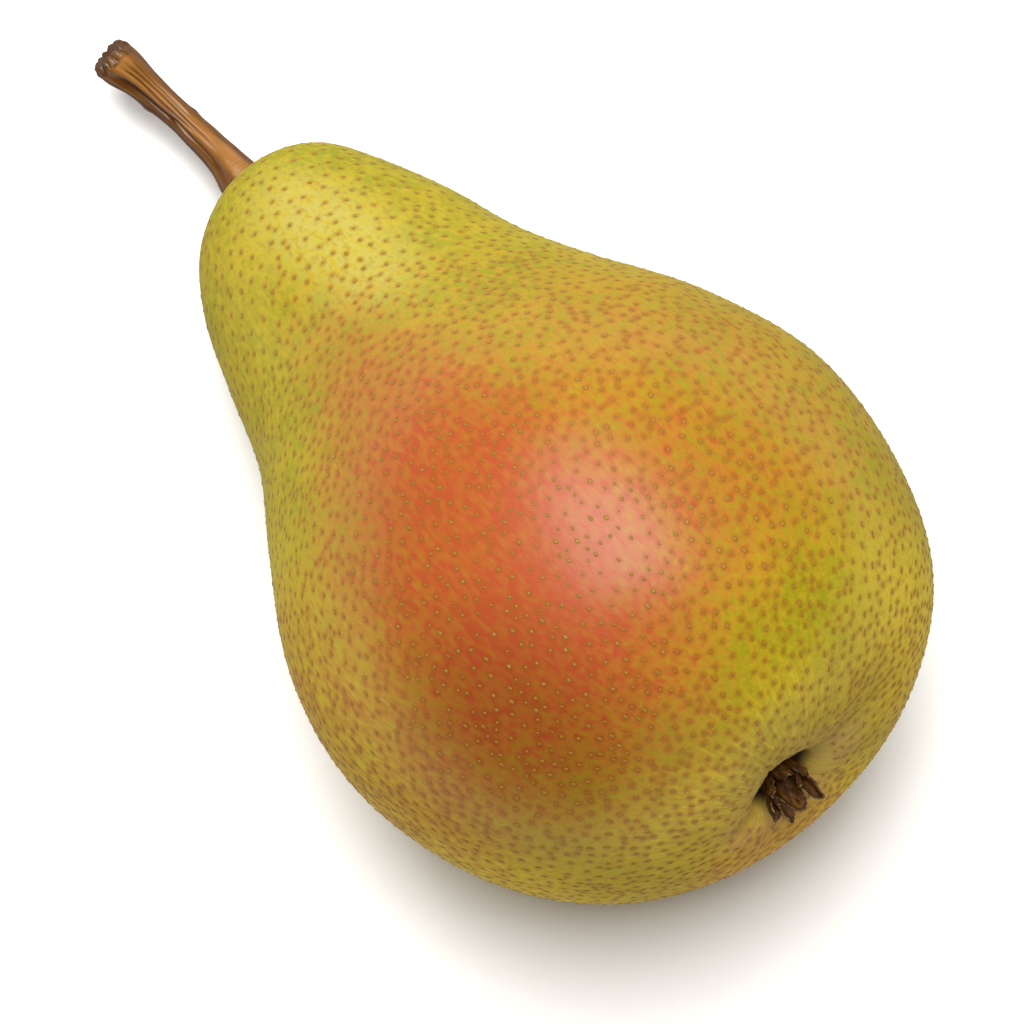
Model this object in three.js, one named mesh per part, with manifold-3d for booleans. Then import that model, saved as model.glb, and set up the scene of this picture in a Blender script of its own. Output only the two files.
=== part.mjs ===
// A ripe pear lying on its side: the fruit, its woody stem, and the dried calyx in the basin at
// the blossom end. Sizes are in millimetres. Every piece is shaped in the pear's own frame, where
// the core runs along X: the rim of the basin is at x = 0, the blossom end faces +X and the stem
// points to -X. The pear is then leant over until its belly meets the surface it lies on.

import * as THREE from 'three';
import { mergeVertices } from 'three/addons/utils/BufferGeometryUtils.js';
import Module from 'manifold-3d';

const { degToRad, smoothstep } = THREE.MathUtils;

// How the pear lies: the stem end is the lower one, and the belly is pressed flat where it rests.
const LEAN = degToRad(21.5);
const FLAT_DEPTH = 0.5;

// The fruit's outline, from the middle of the basin over the belly to the socket of the stem.
// "along" runs from the basin's rim towards the stem, "radius" is measured from the core line,
// and "drift" is how far the core line itself wanders to the side.
const OUTLINE = [
  { along: 4.8, radius: 0, drift: -0.8 },
  { along: 4.7, radius: 2.0, drift: -0.8 },
  { along: 4.0, radius: 3.2, drift: -0.8 },
  { along: 2.6, radius: 4.1, drift: -0.8 },
  { along: 1.0, radius: 5.1, drift: -0.8 },
  { along: 0, radius: 7.8, drift: -0.5 },
  { along: 1.6, radius: 16.4, drift: 1.2 },
  { along: 8, radius: 26.7, drift: 0.8 },
  { along: 18, radius: 33.5, drift: 0 },
  { along: 35, radius: 37.0, drift: -0.8 },
  { along: 49, radius: 34.3, drift: -1.3 },
  { along: 63, radius: 27.6, drift: -0.8 },
  { along: 75, radius: 21.7, drift: 0.6 },
  { along: 86, radius: 18.5, drift: 1.1 },
  { along: 95.5, radius: 15.1, drift: 1.3 },
  { along: 102, radius: 11.6, drift: 1.9 },
  { along: 105, radius: 8.3, drift: 2.2 },
  { along: 106.5, radius: 5.4, drift: 1.9 },
  { along: 106.5, radius: 4.2, drift: 1.6 },
  { along: 104.4, radius: 3.3, drift: 1.5 },
  { along: 103.6, radius: 2.0, drift: 1.5 },
  { along: 103.6, radius: 0, drift: 1.5 },
];
const RING_SPACING = 3.4;
const FRUIT_SIDES = 64;

// Creases that run out of the basin: where round the core, how deep, and how far they spread.
const FURROWS = [
  { turn: 8, depth: 1.0 },
  { turn: 96, depth: 0.3 },
  { turn: 186, depth: 1.0 },
  { turn: 242, depth: 0.5 },
  { turn: 300, depth: 0.6 },
];
const FURROW_WIDTH = degToRad(17);
const FURROW_STARTS = [2.2, 6];
const FURROW_ENDS = [8, 19];
const FURROW_INWARD = 0.5;

// The fruit isn't quite round: it is a little squeezed, with five faint faces.
const SQUEEZE = 0.010;
const FACES = 0.005;

// The stem's middle line, in the same measures, with its height over the core line as "up".
const STEM_LINE = [
  { along: 104.3, drift: 1.5, up: 0.0, radius: 2.2 },
  { along: 106.4, drift: 1.6, up: 0.1, radius: 2.8 },
  { along: 109.2, drift: 1.9, up: 0.3, radius: 2.8 },
  { along: 112.0, drift: 2.1, up: 0.6, radius: 2.35 },
  { along: 115.4, drift: 2.0, up: 1.2, radius: 2.05 },
  { along: 119.0, drift: 1.8, up: 2.3, radius: 1.9 },
  { along: 122.4, drift: 1.5, up: 3.8, radius: 1.95 },
  { along: 125.5, drift: 1.0, up: 5.7, radius: 2.2 },
  { along: 128.4, drift: 0.4, up: 7.9, radius: 2.75 },
  { along: 130.0, drift: 0.0, up: 9.3, radius: 2.7 },
  { along: 130.6, drift: -0.1, up: 9.9, radius: 2.1 },
];
const STEM_RINGS = 26;
const STEM_SIDES = 32;
const CUT_DOME = 0.5;

// Fine ridges along the stem over a slow three-sided swell. Both twist a little on their way and
// grow from the fruit, where the stem is round, to the cut end. Twists are in radians.
const RIDGES = { count: 8, height: 0.15, twist: 1.6 };
const SWELL = { count: 3, height: 0.11, twist: -2 };
const RIDGED_FROM = 0.12;
const RIDGED_BY = 0.9;

// The calyx: a short cup on the basin's floor, which carries folded sepals round its rim and
// shrivelled lobes inside them. A blade rises from its place round the core ("turn", "root") and
// bends over to its tip, which is given from the middle of the rim: outwards, sideways and up.
const CUP = { bottom: -4.3, top: -2.9, outer: 2.5, foot: 2.1, inner: 1.3, floor: 0.5, sides: 20 };
const BLADES = [
  { turn: 190, root: 2.05, tip: [1.5, -4.2, -0.6], width: 2.4 },
  { turn: 232, root: 2.05, tip: [2.0, -2.8, -3.1], width: 2.2 },
  { turn: 270, root: 2.05, tip: [1.7, -0.8, -3.5], width: 2.3 },
  { turn: 312, root: 2.05, tip: [2.0, 1.8, -3.6], width: 2.6 },
  { turn: 40, root: 2.05, tip: [0.7, 2.2, 1.3], width: 2.4 },
  { turn: 85, root: 2.05, tip: [-0.6, 0.5, 3.2], width: 2.2 },
  { turn: 140, root: 2.05, tip: [-0.4, -2.6, 2.3], width: 2.2 },
  { turn: 350, root: 1.3, tip: [0.8, 0.8, 0.1], width: 1.8 },
  { turn: 200, root: 1.3, tip: [1.0, -1.5, 0.1], width: 1.8 },
  { turn: 110, root: 1.3, tip: [0.7, -0.8, 1.2], width: 1.5 },
];
const BLADE_KNEE = -1.3;
const BLADE_THICKNESS = 0.85;
const BLADE_ROWS = 7;
const BLADE_COLUMNS = 4;
const BLADE_FOLD = 0.5;
const BLADE_TAPER = 1.5;
const TIP_SHARE = 0.3;

const SKIN = { color: 0xb3a53a, roughness: 0.5, metalness: 0 };
const WOOD = { color: 0x8a5a2c, roughness: 0.55, metalness: 0 };
const HUSK = { color: 0x4b3019, roughness: 0.8, metalness: 0 };

const wasm = await Module();
wasm.setup();

// A closed skin over rings of equal count that narrow to one point at either end.
function loft(firstTip, rings, lastTip) {
  const sides = rings[0].length;
  const points = [firstTip, ...rings.flat(), lastTip];
  const last = points.length - 1;
  const faces = [];
  for (let side = 0; side < sides; side += 1) {
    const next = (side + 1) % sides;
    faces.push(0, 1 + side, 1 + next);
    for (let ring = 0; ring + 1 < rings.length; ring += 1) {
      const here = 1 + ring * sides;
      const there = here + sides;
      faces.push(here + side, there + side, there + next);
      faces.push(here + side, there + next, here + next);
    }
    const end = last - sides;
    faces.push(last, end + next, end + side);
  }
  return closedGeometry(points, faces);
}

function closedGeometry(points, faces) {
  const geometry = new THREE.BufferGeometry().setFromPoints(points);
  geometry.setIndex(faces);
  return geometry;
}

function toSolid(geometry) {
  const bare = geometry.clone();
  bare.deleteAttribute('normal');
  bare.deleteAttribute('uv');
  const merged = mergeVertices(bare);
  return new wasm.Manifold(new wasm.Mesh({
    numProp: 3,
    vertProperties: merged.attributes.position.array,
    triVerts: merged.index.array,
  }));
}

function toGeometry(solid) {
  const mesh = solid.getMesh();
  const geometry = new THREE.BufferGeometry();
  geometry.setAttribute('position', new THREE.BufferAttribute(mesh.vertProperties, mesh.numProp));
  geometry.setIndex(new THREE.BufferAttribute(mesh.triVerts, 1));
  return geometry;
}

function namedMesh(name, geometry, finish) {
  geometry.computeVertexNormals();
  const mesh = new THREE.Mesh(geometry, new THREE.MeshStandardMaterial(finish));
  mesh.name = name;
  return mesh;
}

// How much the creases take off at one place round the core.
function furrowAt(turn) {
  return FURROWS.reduce((sum, furrow) => {
    const away = turn - degToRad(furrow.turn);
    const shortest = Math.atan2(Math.sin(away), Math.cos(away));
    return sum + furrow.depth * Math.exp(-((shortest / FURROW_WIDTH) ** 2));
  }, 0);
}

// One point of the fruit's skin, from a step of the outline and the place round the core.
function skinPoint({ x: along, y: radius, z: drift }, turn) {
  const half = OUTLINE.at(-1).along / 2;
  const nearBasin = along < half
    ? smoothstep(radius, ...FURROW_STARTS) * (1 - smoothstep(radius, ...FURROW_ENDS))
    : 0;
  const body = smoothstep(radius, FURROW_ENDS[0], FURROW_ENDS[1]);
  const uneven = 1 + body * (SQUEEZE * Math.sin(2 * turn) + FACES * Math.sin(5 * turn));
  const crease = furrowAt(turn) * nearBasin;
  const out = radius * uneven - crease * FURROW_INWARD;
  return new THREE.Vector3(-along - crease, drift + out * Math.cos(turn), out * Math.sin(turn));
}

// The smooth line through the outline's steps, cut into rings: one on each step, and more
// between steps that lie far apart.
function outlineRings() {
  const steps = OUTLINE.map(({ along, radius, drift }) => new THREE.Vector3(along, radius, drift));
  const line = new THREE.CatmullRomCurve3(steps);
  const stretches = steps.length - 1;
  const rings = [];
  for (let stretch = 0; stretch < stretches; stretch += 1) {
    const length = steps[stretch].distanceTo(steps[stretch + 1]);
    const count = Math.max(1, Math.round(length / RING_SPACING));
    for (let part = 0; part < count; part += 1) {
      rings.push(line.getPoint((stretch + part / count) / stretches));
    }
  }
  return { tips: [steps[0], steps[stretches]], rings: rings.slice(1) };
}

function fruitGeometry() {
  const { tips, rings } = outlineRings();
  const turns = Array.from({ length: FRUIT_SIDES }, (_, side) => (2 * Math.PI * side) / FRUIT_SIDES);
  const skin = loft(
    skinPoint(tips[0], 0),
    rings.map((ring) => turns.map((turn) => skinPoint(ring, turn))),
    skinPoint(tips[1], 0),
  );

  // The flat spot: all that lies lower than the surface is taken off.
  const lay = new THREE.Matrix4().makeRotationY(-LEAN);
  const lowest = skin.clone().applyMatrix4(lay);
  lowest.computeBoundingBox();
  const size = 2 * OUTLINE.at(-1).along;
  const below = new THREE.BoxGeometry(size, size, size);
  below.translate(lowest.boundingBox.getCenter(new THREE.Vector3()).x, 0, 0);
  below.translate(0, 0, lowest.boundingBox.min.z + FLAT_DEPTH - size / 2);
  below.applyMatrix4(lay.invert());
  return toGeometry(toSolid(skin).subtract(toSolid(below)));
}

function stemGeometry() {
  const middle = STEM_LINE.map(({ along, drift, up }) => new THREE.Vector3(-along, drift, up));
  const line = new THREE.CatmullRomCurve3(middle);
  const widths = new THREE.CatmullRomCurve3(
    STEM_LINE.map(({ radius }, step) => new THREE.Vector3(step, radius, 0)),
  );
  const frames = line.computeFrenetFrames(STEM_RINGS);
  const wave = ({ count, height, twist }, turn, share) => height * Math.cos(count * turn + twist * share);
  const rings = Array.from({ length: STEM_RINGS + 1 }, (_, ring) => {
    const share = ring / STEM_RINGS;
    const spot = line.getUtoTmapping(share);
    const centre = line.getPoint(spot);
    const radius = widths.getPoint(spot).y;
    const ridged = smoothstep(share, RIDGED_FROM, RIDGED_BY);
    return Array.from({ length: STEM_SIDES }, (_unused, side) => {
      const turn = (2 * Math.PI * side) / STEM_SIDES;
      const out = radius + ridged * (wave(RIDGES, turn, share) + wave(SWELL, turn, share));
      return centre.clone()
        .addScaledVector(frames.normals[ring], out * Math.cos(turn))
        .addScaledVector(frames.binormals[ring], -out * Math.sin(turn));
    });
  });
  const tip = middle.at(-1).clone().addScaledVector(frames.tangents.at(-1), CUT_DOME);
  return loft(middle[0].clone(), rings, tip);
}

// One dried blade: a strip folded along its middle, which narrows to its tip.
function bladeGeometry({ turn, root, tip, width }) {
  const outward = new THREE.Vector3(0, Math.cos(degToRad(turn)), Math.sin(degToRad(turn)));
  const across = new THREE.Vector3(0, -outward.z, outward.y);
  const centre = new THREE.Vector3(0, OUTLINE[0].drift, 0);
  const foot = centre.clone().addScaledVector(outward, root);
  const line = new THREE.QuadraticBezierCurve3(
    foot.clone().setX(CUP.bottom + CUP.floor),
    foot.clone().setX(BLADE_KNEE),
    centre.clone().add(new THREE.Vector3(...tip)),
  );
  const front = [];
  const back = [];
  for (let row = 0; row <= BLADE_ROWS; row += 1) {
    const share = row / BLADE_ROWS;
    const spot = line.getPoint(share);
    const facing = across.clone().cross(line.getTangent(share)).normalize();
    const half = (width / 2) * (1 - (1 - TIP_SHARE) * share ** BLADE_TAPER);
    for (let column = 0; column <= BLADE_COLUMNS; column += 1) {
      const side = (2 * column) / BLADE_COLUMNS - 1;
      const fold = BLADE_FOLD * half * (Math.abs(side) - 0.5);
      const middle = spot.clone().addScaledVector(across, half * side).addScaledVector(facing, -fold);
      front.push(middle.clone().addScaledVector(facing, BLADE_THICKNESS / 2));
      back.push(middle.clone().addScaledVector(facing, -BLADE_THICKNESS / 2));
    }
  }
  return slabGeometry(front, back, BLADE_ROWS, BLADE_COLUMNS);
}

// A closed slab between two like grids of points: both faces, then the strip round the edge.
function slabGeometry(front, back, rows, columns) {
  const wide = columns + 1;
  const offset = front.length;
  const faces = [];
  for (let row = 0; row < rows; row += 1) {
    for (let column = 0; column < columns; column += 1) {
      const a = row * wide + column;
      const b = a + 1;
      const c = a + wide;
      const d = c + 1;
      faces.push(a, b, d, a, d, c);
      faces.push(offset + a, offset + d, offset + b, offset + a, offset + c, offset + d);
    }
  }
  const edge = [];
  for (let column = 0; column < columns; column += 1) edge.push(column);
  for (let row = 0; row < rows; row += 1) edge.push(row * wide + columns);
  for (let column = columns; column > 0; column -= 1) edge.push(rows * wide + column);
  for (let row = rows; row > 0; row -= 1) edge.push(row * wide);
  edge.forEach((here, step) => {
    const next = edge[(step + 1) % edge.length];
    faces.push(here, offset + next, next, here, offset + here, offset + next);
  });
  return closedGeometry([...front, ...back], faces);
}

function cupGeometry() {
  const { bottom, top, outer, foot, inner, floor, sides } = CUP;
  const section = [
    [0, bottom],
    [foot, bottom],
    [outer, bottom + floor],
    [outer, top],
    [inner, top],
    [inner, bottom + floor],
    [0, bottom + floor],
  ];
  const cup = new THREE.LatheGeometry(section.map(([out, along]) => new THREE.Vector2(out, along)), sides);
  cup.rotateZ(-Math.PI / 2);
  cup.translate(0, OUTLINE[0].drift, 0);
  return cup;
}

function calyxGeometry() {
  const blades = BLADES.map((blade) => toSolid(bladeGeometry(blade)));
  return toGeometry(blades.reduce((whole, blade) => whole.add(blade), toSolid(cupGeometry())));
}

const pear = new THREE.Group();
pear.add(namedMesh('fruit', fruitGeometry(), SKIN));
pear.add(namedMesh('stem', stemGeometry(), WOOD));
pear.add(namedMesh('calyx', calyxGeometry(), HUSK));
pear.rotation.y = -LEAN;

// The origin is at the middle of the pear's bounding box, on the surface that it lies on.
const box = new THREE.Box3().setFromObject(pear, true);
const centre = box.getCenter(new THREE.Vector3());
pear.position.set(-centre.x, -centre.y, -box.min.z);

export default pear;
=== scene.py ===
"""A ripe pear lying on its side, finished: skin with pores and a blush, woody stem, dried calyx.

Lengths are in millimetres and angles in degrees, unless a name or a unit in brackets says
otherwise. Every piece is shaped in the pear's own frame, where the core runs along X: the rim of
the basin is at x = 0, the blossom end faces +X and the stem points to -X. "Along" is the distance
from the rim towards the stem, and "turn" is the place round the core, with 90 on top. The last
step lays the piece down in the part's frame, in metres.
"""

import logging
import math
from dataclasses import dataclass, field
from enum import Enum
from typing import Any, Sequence

import bpy
import numpy as np
from mathutils import Matrix, Vector
from mathutils.kdtree import KDTree


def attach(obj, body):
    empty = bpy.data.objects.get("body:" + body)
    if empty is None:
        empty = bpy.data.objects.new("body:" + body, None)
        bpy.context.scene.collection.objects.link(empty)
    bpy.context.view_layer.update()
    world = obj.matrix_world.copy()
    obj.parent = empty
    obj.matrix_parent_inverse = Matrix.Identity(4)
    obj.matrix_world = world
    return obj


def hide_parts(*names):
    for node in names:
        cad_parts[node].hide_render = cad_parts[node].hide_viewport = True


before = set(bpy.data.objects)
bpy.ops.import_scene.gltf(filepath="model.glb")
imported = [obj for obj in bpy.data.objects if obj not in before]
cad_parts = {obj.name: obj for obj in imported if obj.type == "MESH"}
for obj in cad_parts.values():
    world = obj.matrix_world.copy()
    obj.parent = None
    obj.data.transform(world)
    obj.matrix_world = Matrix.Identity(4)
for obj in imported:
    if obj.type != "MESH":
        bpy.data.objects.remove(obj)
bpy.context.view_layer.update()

LOG = logging.getLogger("pear")

Piece = bpy.types.Object
Socket = bpy.types.NodeSocket
Rows = np.ndarray
Pair = tuple[float, float]
Triple = tuple[float, float, float]

MILLIMETRE = 0.001

# How the pear lies: its lean, and where the middle of the basin's rim is in the part's frame.
LEAN = 21.5
RIM_PLACE = (60.770, 0.800, 49.249)
CORE_DRIFT = -0.8


def pear_to_part() -> Matrix:
    """Gives the matrix that lays the pear down in the part's frame, in metres."""
    lay = Matrix.Rotation(math.radians(-LEAN), 4, "Y")
    return Matrix.Scale(MILLIMETRE, 4) @ Matrix.Translation(RIM_PLACE) @ lay


def linear_colour(code: str) -> tuple[float, float, float, float]:
    """Turns an sRGB hex colour into the linear colour that a shader takes.

    Args:
        code: The colour as six hex digits after a hash.

    Returns:
        Red, green, blue and an alpha of one, all linear.
    """
    parts = [int(code[start:start + 2], 16) / 255 for start in (1, 3, 5)]
    red, green, blue = (
        part / 12.92 if part <= 0.04045 else ((part + 0.055) / 1.055) ** 2.4 for part in parts
    )
    return red, green, blue, 1.0


def smoothstep(value: Rows, low: float, high: float) -> Rows:
    """Rises smoothly from 0 at low to 1 at high."""
    share = np.clip((value - low) / (high - low), 0.0, 1.0)
    return share * share * (3 - 2 * share)


def unit(rows: Rows) -> Rows:
    """Brings each row to the length one."""
    return rows / np.linalg.norm(rows, axis=1)[:, None]


def bell(angles: Rows, middle: float, width: float) -> Rows:
    """Gives 1 at an angle and falls off round it, as a bell. All in degrees."""
    away = np.radians(angles - middle)
    shortest = np.degrees(np.arctan2(np.sin(away), np.cos(away)))
    return np.exp(-((shortest / width) ** 2))


def smooth_line(steps: Rows, counts: Sequence[int]) -> Rows:
    """Runs the CAD's smooth line (a centripetal spline) through all steps.

    Args:
        steps: The points the line goes through, one row each.
        counts: How many points each stretch between two steps is cut into.

    Returns:
        The points of the line, from the first step to the last.
    """
    padded = np.vstack([2 * steps[0] - steps[1], steps, 2 * steps[-1] - steps[-2]])
    line = []
    for stretch, count in enumerate(counts):
        before, here, there, after = padded[stretch:stretch + 4]
        first, middle, last = (
            np.linalg.norm(b - a) ** 0.5
            for a, b in ((before, here), (here, there), (there, after))
        )
        leaving = (here - before) / first - (there - before) / (first + middle)
        leaving = (leaving + (there - here) / middle) * middle
        arriving = (there - here) / middle - (after - here) / (middle + last)
        arriving = (arriving + (after - there) / last) * middle
        for part in range(count):
            t = part / count
            bend = -3 * here + 3 * there - 2 * leaving - arriving
            close = 2 * here - 2 * there + leaving + arriving
            line.append(here + leaving * t + bend * t**2 + close * t**3)
    line.append(steps[-1])
    return np.array(line)


def gentle_noise(places: Rows, wavelength: float, seed: int, waves: int = 12) -> Rows:
    """Gives a smooth random field of about -1 to 1, the same on every run.

    Args:
        places: Points, one row each.
        wavelength: The usual length of a wave, in the unit of the points.
        seed: Which field of many.
        waves: How many plane waves are added up.

    Returns:
        One value for each point.
    """
    draw = np.random.default_rng(seed)
    total = np.zeros(len(places))
    for _ in range(waves):
        direction = draw.normal(size=places.shape[1])
        direction *= 2 * math.pi / (wavelength * draw.uniform(0.7, 1.5) * np.linalg.norm(direction))
        total += np.sin(places @ direction + draw.uniform(0, 2 * math.pi))
    return total / math.sqrt(waves)


def deselect_all() -> None:
    """Leaves nothing selected, in object mode."""
    if bpy.context.mode != "OBJECT":
        bpy.ops.object.mode_set(mode="OBJECT")
    bpy.ops.object.select_all(action="DESELECT")


def pick(piece: Piece) -> None:
    """Selects one piece alone, in object mode, and makes it the active one."""
    deselect_all()
    bpy.context.view_layer.objects.active = piece
    piece.select_set(True)


def edit_all(piece: Piece) -> None:
    """Opens a piece in edit mode with all of it selected."""
    pick(piece)
    bpy.ops.object.mode_set(mode="EDIT")
    bpy.ops.mesh.select_all(action="SELECT")


def extrude(step: Sequence[float] = (0, 0, 0)) -> None:
    """Extrudes what is selected, by a step."""
    bpy.ops.mesh.extrude_region_move(TRANSFORM_OT_translate={"value": tuple(step)})


def close_up(piece: Piece, weld: float = 1e-4) -> None:
    """Merges doubled points of a piece and turns all its faces outwards."""
    edit_all(piece)
    bpy.ops.mesh.remove_doubles(threshold=weld)
    bpy.ops.mesh.select_all(action="SELECT")
    bpy.ops.mesh.normals_make_consistent(inside=False)
    bpy.ops.object.mode_set(mode="OBJECT")


def places_of(piece: Piece) -> Rows:
    """Reads where the points of a piece are, one row each."""
    flat = np.empty(len(piece.data.vertices) * 3, np.float32)
    piece.data.vertices.foreach_get("co", flat)
    return flat.reshape(-1, 3).astype(float)


def put_places(piece: Piece, places: Rows) -> None:
    """Moves the points of a piece."""
    piece.data.vertices.foreach_set("co", places.astype(np.float32).ravel())
    piece.data.update()


def keep_values(piece: Piece, name: str, values: Rows) -> None:
    """Writes one value or one vector for each point of a piece, which its material reads."""
    kind = "FLOAT" if values.ndim == 1 else "FLOAT_VECTOR"
    socket = "value" if values.ndim == 1 else "vector"
    layer = piece.data.attributes.new(name, kind, "POINT")
    layer.data.foreach_set(socket, values.astype(np.float32).ravel())


def finish_with(piece: Piece, kind: str, **settings: Any) -> None:
    """Adds a modifier to a piece and applies it."""
    pick(piece)
    modifier = piece.modifiers.new(kind.title(), kind)
    for name, value in settings.items():
        setattr(modifier, name, value)
    bpy.ops.object.modifier_apply(modifier=modifier.name)


def lay_down(piece: Piece) -> None:
    """Takes a finished piece from the pear's own frame to the part's, and shades it smooth."""
    pick(piece)
    piece.matrix_world = pear_to_part()
    bpy.ops.object.transform_apply(location=True, rotation=True, scale=True)
    bpy.ops.object.shade_smooth()


def along_and_out(places: Rows) -> tuple[Rows, Rows]:
    """Measures places of the part's frame, in millimetres, along the pear's core and out from it."""
    back = np.array(pear_to_part().inverted())
    own = places * MILLIMETRE @ back[:3, :3].T + back[:3, 3]
    return -own[:, 0], np.hypot(own[:, 1] - CORE_DRIFT, own[:, 2])


def tree_of(places: Rows) -> KDTree:
    """Sorts places into a tree that finds their neighbours."""
    tree = KDTree(len(places))
    for number, place in enumerate(places):
        tree.insert(place, number)
    tree.balance()
    return tree


def from_lowest(corners: list[int]) -> list[int]:
    """Lists a face's corners from the lowest, the same way round on every run."""
    start = corners.index(min(corners))
    turned = corners[start:] + corners[:start]
    return turned if turned[1] < turned[-1] else turned[:1] + turned[:0:-1]


def single_point(name: str) -> Piece:
    """Adds a plane and merges it to one selected point at the origin, in edit mode."""
    deselect_all()
    bpy.ops.mesh.primitive_plane_add(size=1.0)
    piece = bpy.context.object
    piece.name = piece.data.name = name
    edit_all(piece)
    bpy.ops.mesh.merge(type="CENTER")
    return piece


@dataclass(frozen=True)
class Cloud:
    """A soft random pattern: the size of its blobs, how they stretch on each axis, and its detail."""

    size: float
    stretch: Triple = (1.0, 1.0, 1.0)
    detail: float = 2.0
    rough: float = 0.5


class Body(Enum):
    """The one rigid body that every piece rides on."""

    WHOLE = "root"


class Graph:
    """The nodes of one material."""

    def __init__(self, name: str) -> None:
        """Makes an empty material with that name."""
        self.material = bpy.data.materials.new(name)
        self.material.use_nodes = True
        self.nodes = self.material.node_tree.nodes
        self.links = self.material.node_tree.links
        self.nodes.clear()

    def add(self, kind: str, sockets: dict[Any, Any] | None = None, **settings: Any) -> bpy.types.Node:
        """Adds a node.

        Args:
            kind: The node's type, without the leading "ShaderNode".
            sockets: What goes into its sockets, each named or numbered: a value or another socket.
            settings: The node's own settings.

        Returns:
            The new node.
        """
        node = self.nodes.new("ShaderNode" + kind)
        for name, value in settings.items():
            setattr(node, name, value)
        for key, value in (sockets or {}).items():
            if isinstance(value, Socket):
                self.links.new(value, node.inputs[key])
            else:
                node.inputs[key].default_value = value
        return node

    def sum_up(self, operation: str, *values: Any, clamp: bool = False) -> Socket:
        """Works out one number from others, each a value or a socket."""
        node = self.add("Math", dict(enumerate(values)), operation=operation, use_clamp=clamp)
        return node.outputs[0]

    def times(self, first: Any, second: Any) -> Socket:
        """Multiplies two numbers, each a value or a socket."""
        return self.sum_up("MULTIPLY", first, second)

    def written(self, name: str) -> Socket:
        """Reads the value of that name that is written on the points of the piece."""
        return self.add("Attribute", attribute_name=name).outputs["Fac"]

    def fade(self, value: Any, low: float, high: float, start: float = 0.0, end: float = 1.0) -> Socket:
        """Goes smoothly from start to end while the value goes from low to high."""
        sockets = {"Value": value, "From Min": low, "From Max": high, "To Min": start, "To Max": end}
        return self.add("MapRange", sockets, interpolation_type="SMOOTHSTEP").outputs["Result"]

    def blend(self, share: Any, below: Any, above: Any, way: str = "MIX") -> Socket:
        """Blends two colours, each a socket or a hex code, by a share."""
        colours = [linear_colour(c) if isinstance(c, str) else c for c in (below, above)]
        sockets = {0: share, 6: colours[0], 7: colours[1]}
        return self.add("Mix", sockets, data_type="RGBA", blend_type=way).outputs[2]

    def coated(self, colour: Any, *coats: tuple[Any, Any]) -> Socket:
        """Lays coats over a colour, each given by the share that it covers and its own colour."""
        for share, coat in coats:
            colour = self.blend(share, colour, coat)
        return colour

    def own_place(self) -> Socket:
        """Gives the place on the piece in the pear's own frame, in millimetres."""
        place = self.add("TexCoord").outputs["Object"]
        turn = (0.0, math.radians(-LEAN), 0.0)
        sockets = {
            "Vector": place,
            "Location": tuple(MILLIMETRE * part for part in RIM_PLACE),
            "Rotation": turn,
            "Scale": (MILLIMETRE,) * 3,
        }
        return self.add("Mapping", sockets, vector_type="TEXTURE").outputs["Vector"]

    def cloud(self, place: Any, look: Cloud) -> Socket:
        """Gives a soft random pattern from 0 to 1."""
        sockets = {"Vector": place, "Scale": tuple(1 / size for size in look.stretch)}
        place = self.add("Mapping", sockets).outputs["Vector"]
        sockets = {"Vector": place, "Scale": 1 / look.size}
        sockets.update({"Detail": look.detail, "Roughness": look.rough})
        return self.add("TexNoise", sockets).outputs["Fac"]

    def near(self, place: Any, middle: Sequence[float], reach: Sequence[float]) -> Socket:
        """Measures how far a place is from a middle, as a share of the reach on each axis."""
        sockets = {"Vector": place, "Location": tuple(middle), "Scale": tuple(reach)}
        away = self.add("Mapping", sockets, vector_type="TEXTURE").outputs["Vector"]
        return self.add("VectorMath", {0: away}, operation="LENGTH").outputs["Value"]

    def grain(self, height: Any, depth: float) -> Socket:
        """Roughens the surface by a pattern, that deep in millimetres, and gives its new normal."""
        sockets = {"Strength": 1.0, "Distance": depth * MILLIMETRE, "Height": height}
        return self.add("Bump", sockets).outputs["Normal"]

    def edgewise(self, facing: float, aside: float) -> Socket:
        """Goes from one value, where the surface faces the eye, to another where it turns away."""
        turned = self.add("LayerWeight", {"Blend": 0.5}).outputs["Facing"]
        return self.fade(turned, 0.2, 0.7, facing, aside)

    def surface(self, **sockets: Any) -> bpy.types.Material:
        """Ends the material with a principled shader.

        Args:
            sockets: What goes into the shader, with underscores for the spaces in a name.

        Returns:
            The finished material.
        """
        named = {name.replace("_", " "): value for name, value in sockets.items()}
        shader = self.add("BsdfPrincipled", named)
        self.add("OutputMaterial", {"Surface": shader.outputs["BSDF"]})
        return self.material


@dataclass(frozen=True)
class Patch:
    """A part of the skin with a colour of its own: its place, how far it goes and how strong it is."""

    along: float
    turn: float
    out: float
    reach: Triple
    amount: float = 1.0

    def middle(self) -> Triple:
        """Gives the patch's middle in the pear's own frame."""
        turn = math.radians(self.turn)
        return -self.along, CORE_DRIFT + self.out * math.cos(turn), self.out * math.sin(turn)


@dataclass(frozen=True)
class Tint:
    """A soft change of colour over some patches of the skin, from 0 outside them to their amounts."""

    patches: tuple[Patch, ...]

    def share(self, graph: Graph, place: Any) -> Socket:
        """Works out how strong the tint is at a place in the pear's own frame."""
        plain: Any = 1.0
        for patch in self.patches:
            away = graph.near(place, patch.middle(), patch.reach)
            left = graph.fade(away, 1.0, 0.23, 1.0, 1.0 - patch.amount)
            plain = graph.times(plain, left)
        return graph.sum_up("SUBTRACT", 1.0, plain)


BLUSH = Tint((
    Patch(30, 109, 31, (38, 29, 60), 0.88),
    Patch(46, 99, 34, (60, 15, 28), 0.62),
    Patch(28, 49, 35, (28, 31, 55), 0.27),
    Patch(19, 107, 31, (16, 54, 35), 0.45),
    Patch(41, 69, 33, (43, 16, 60), 0.30),
    Patch(46, 44, 35, (32, 14, 20), 0.19),
    Patch(38, 166, 36, (42, 14, 28), 0.30),
    Patch(1, -120, 13, (12, 16, 14), 0.36),
    Patch(2, -8, 17, (10, 12, 16), 0.08),
))


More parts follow.
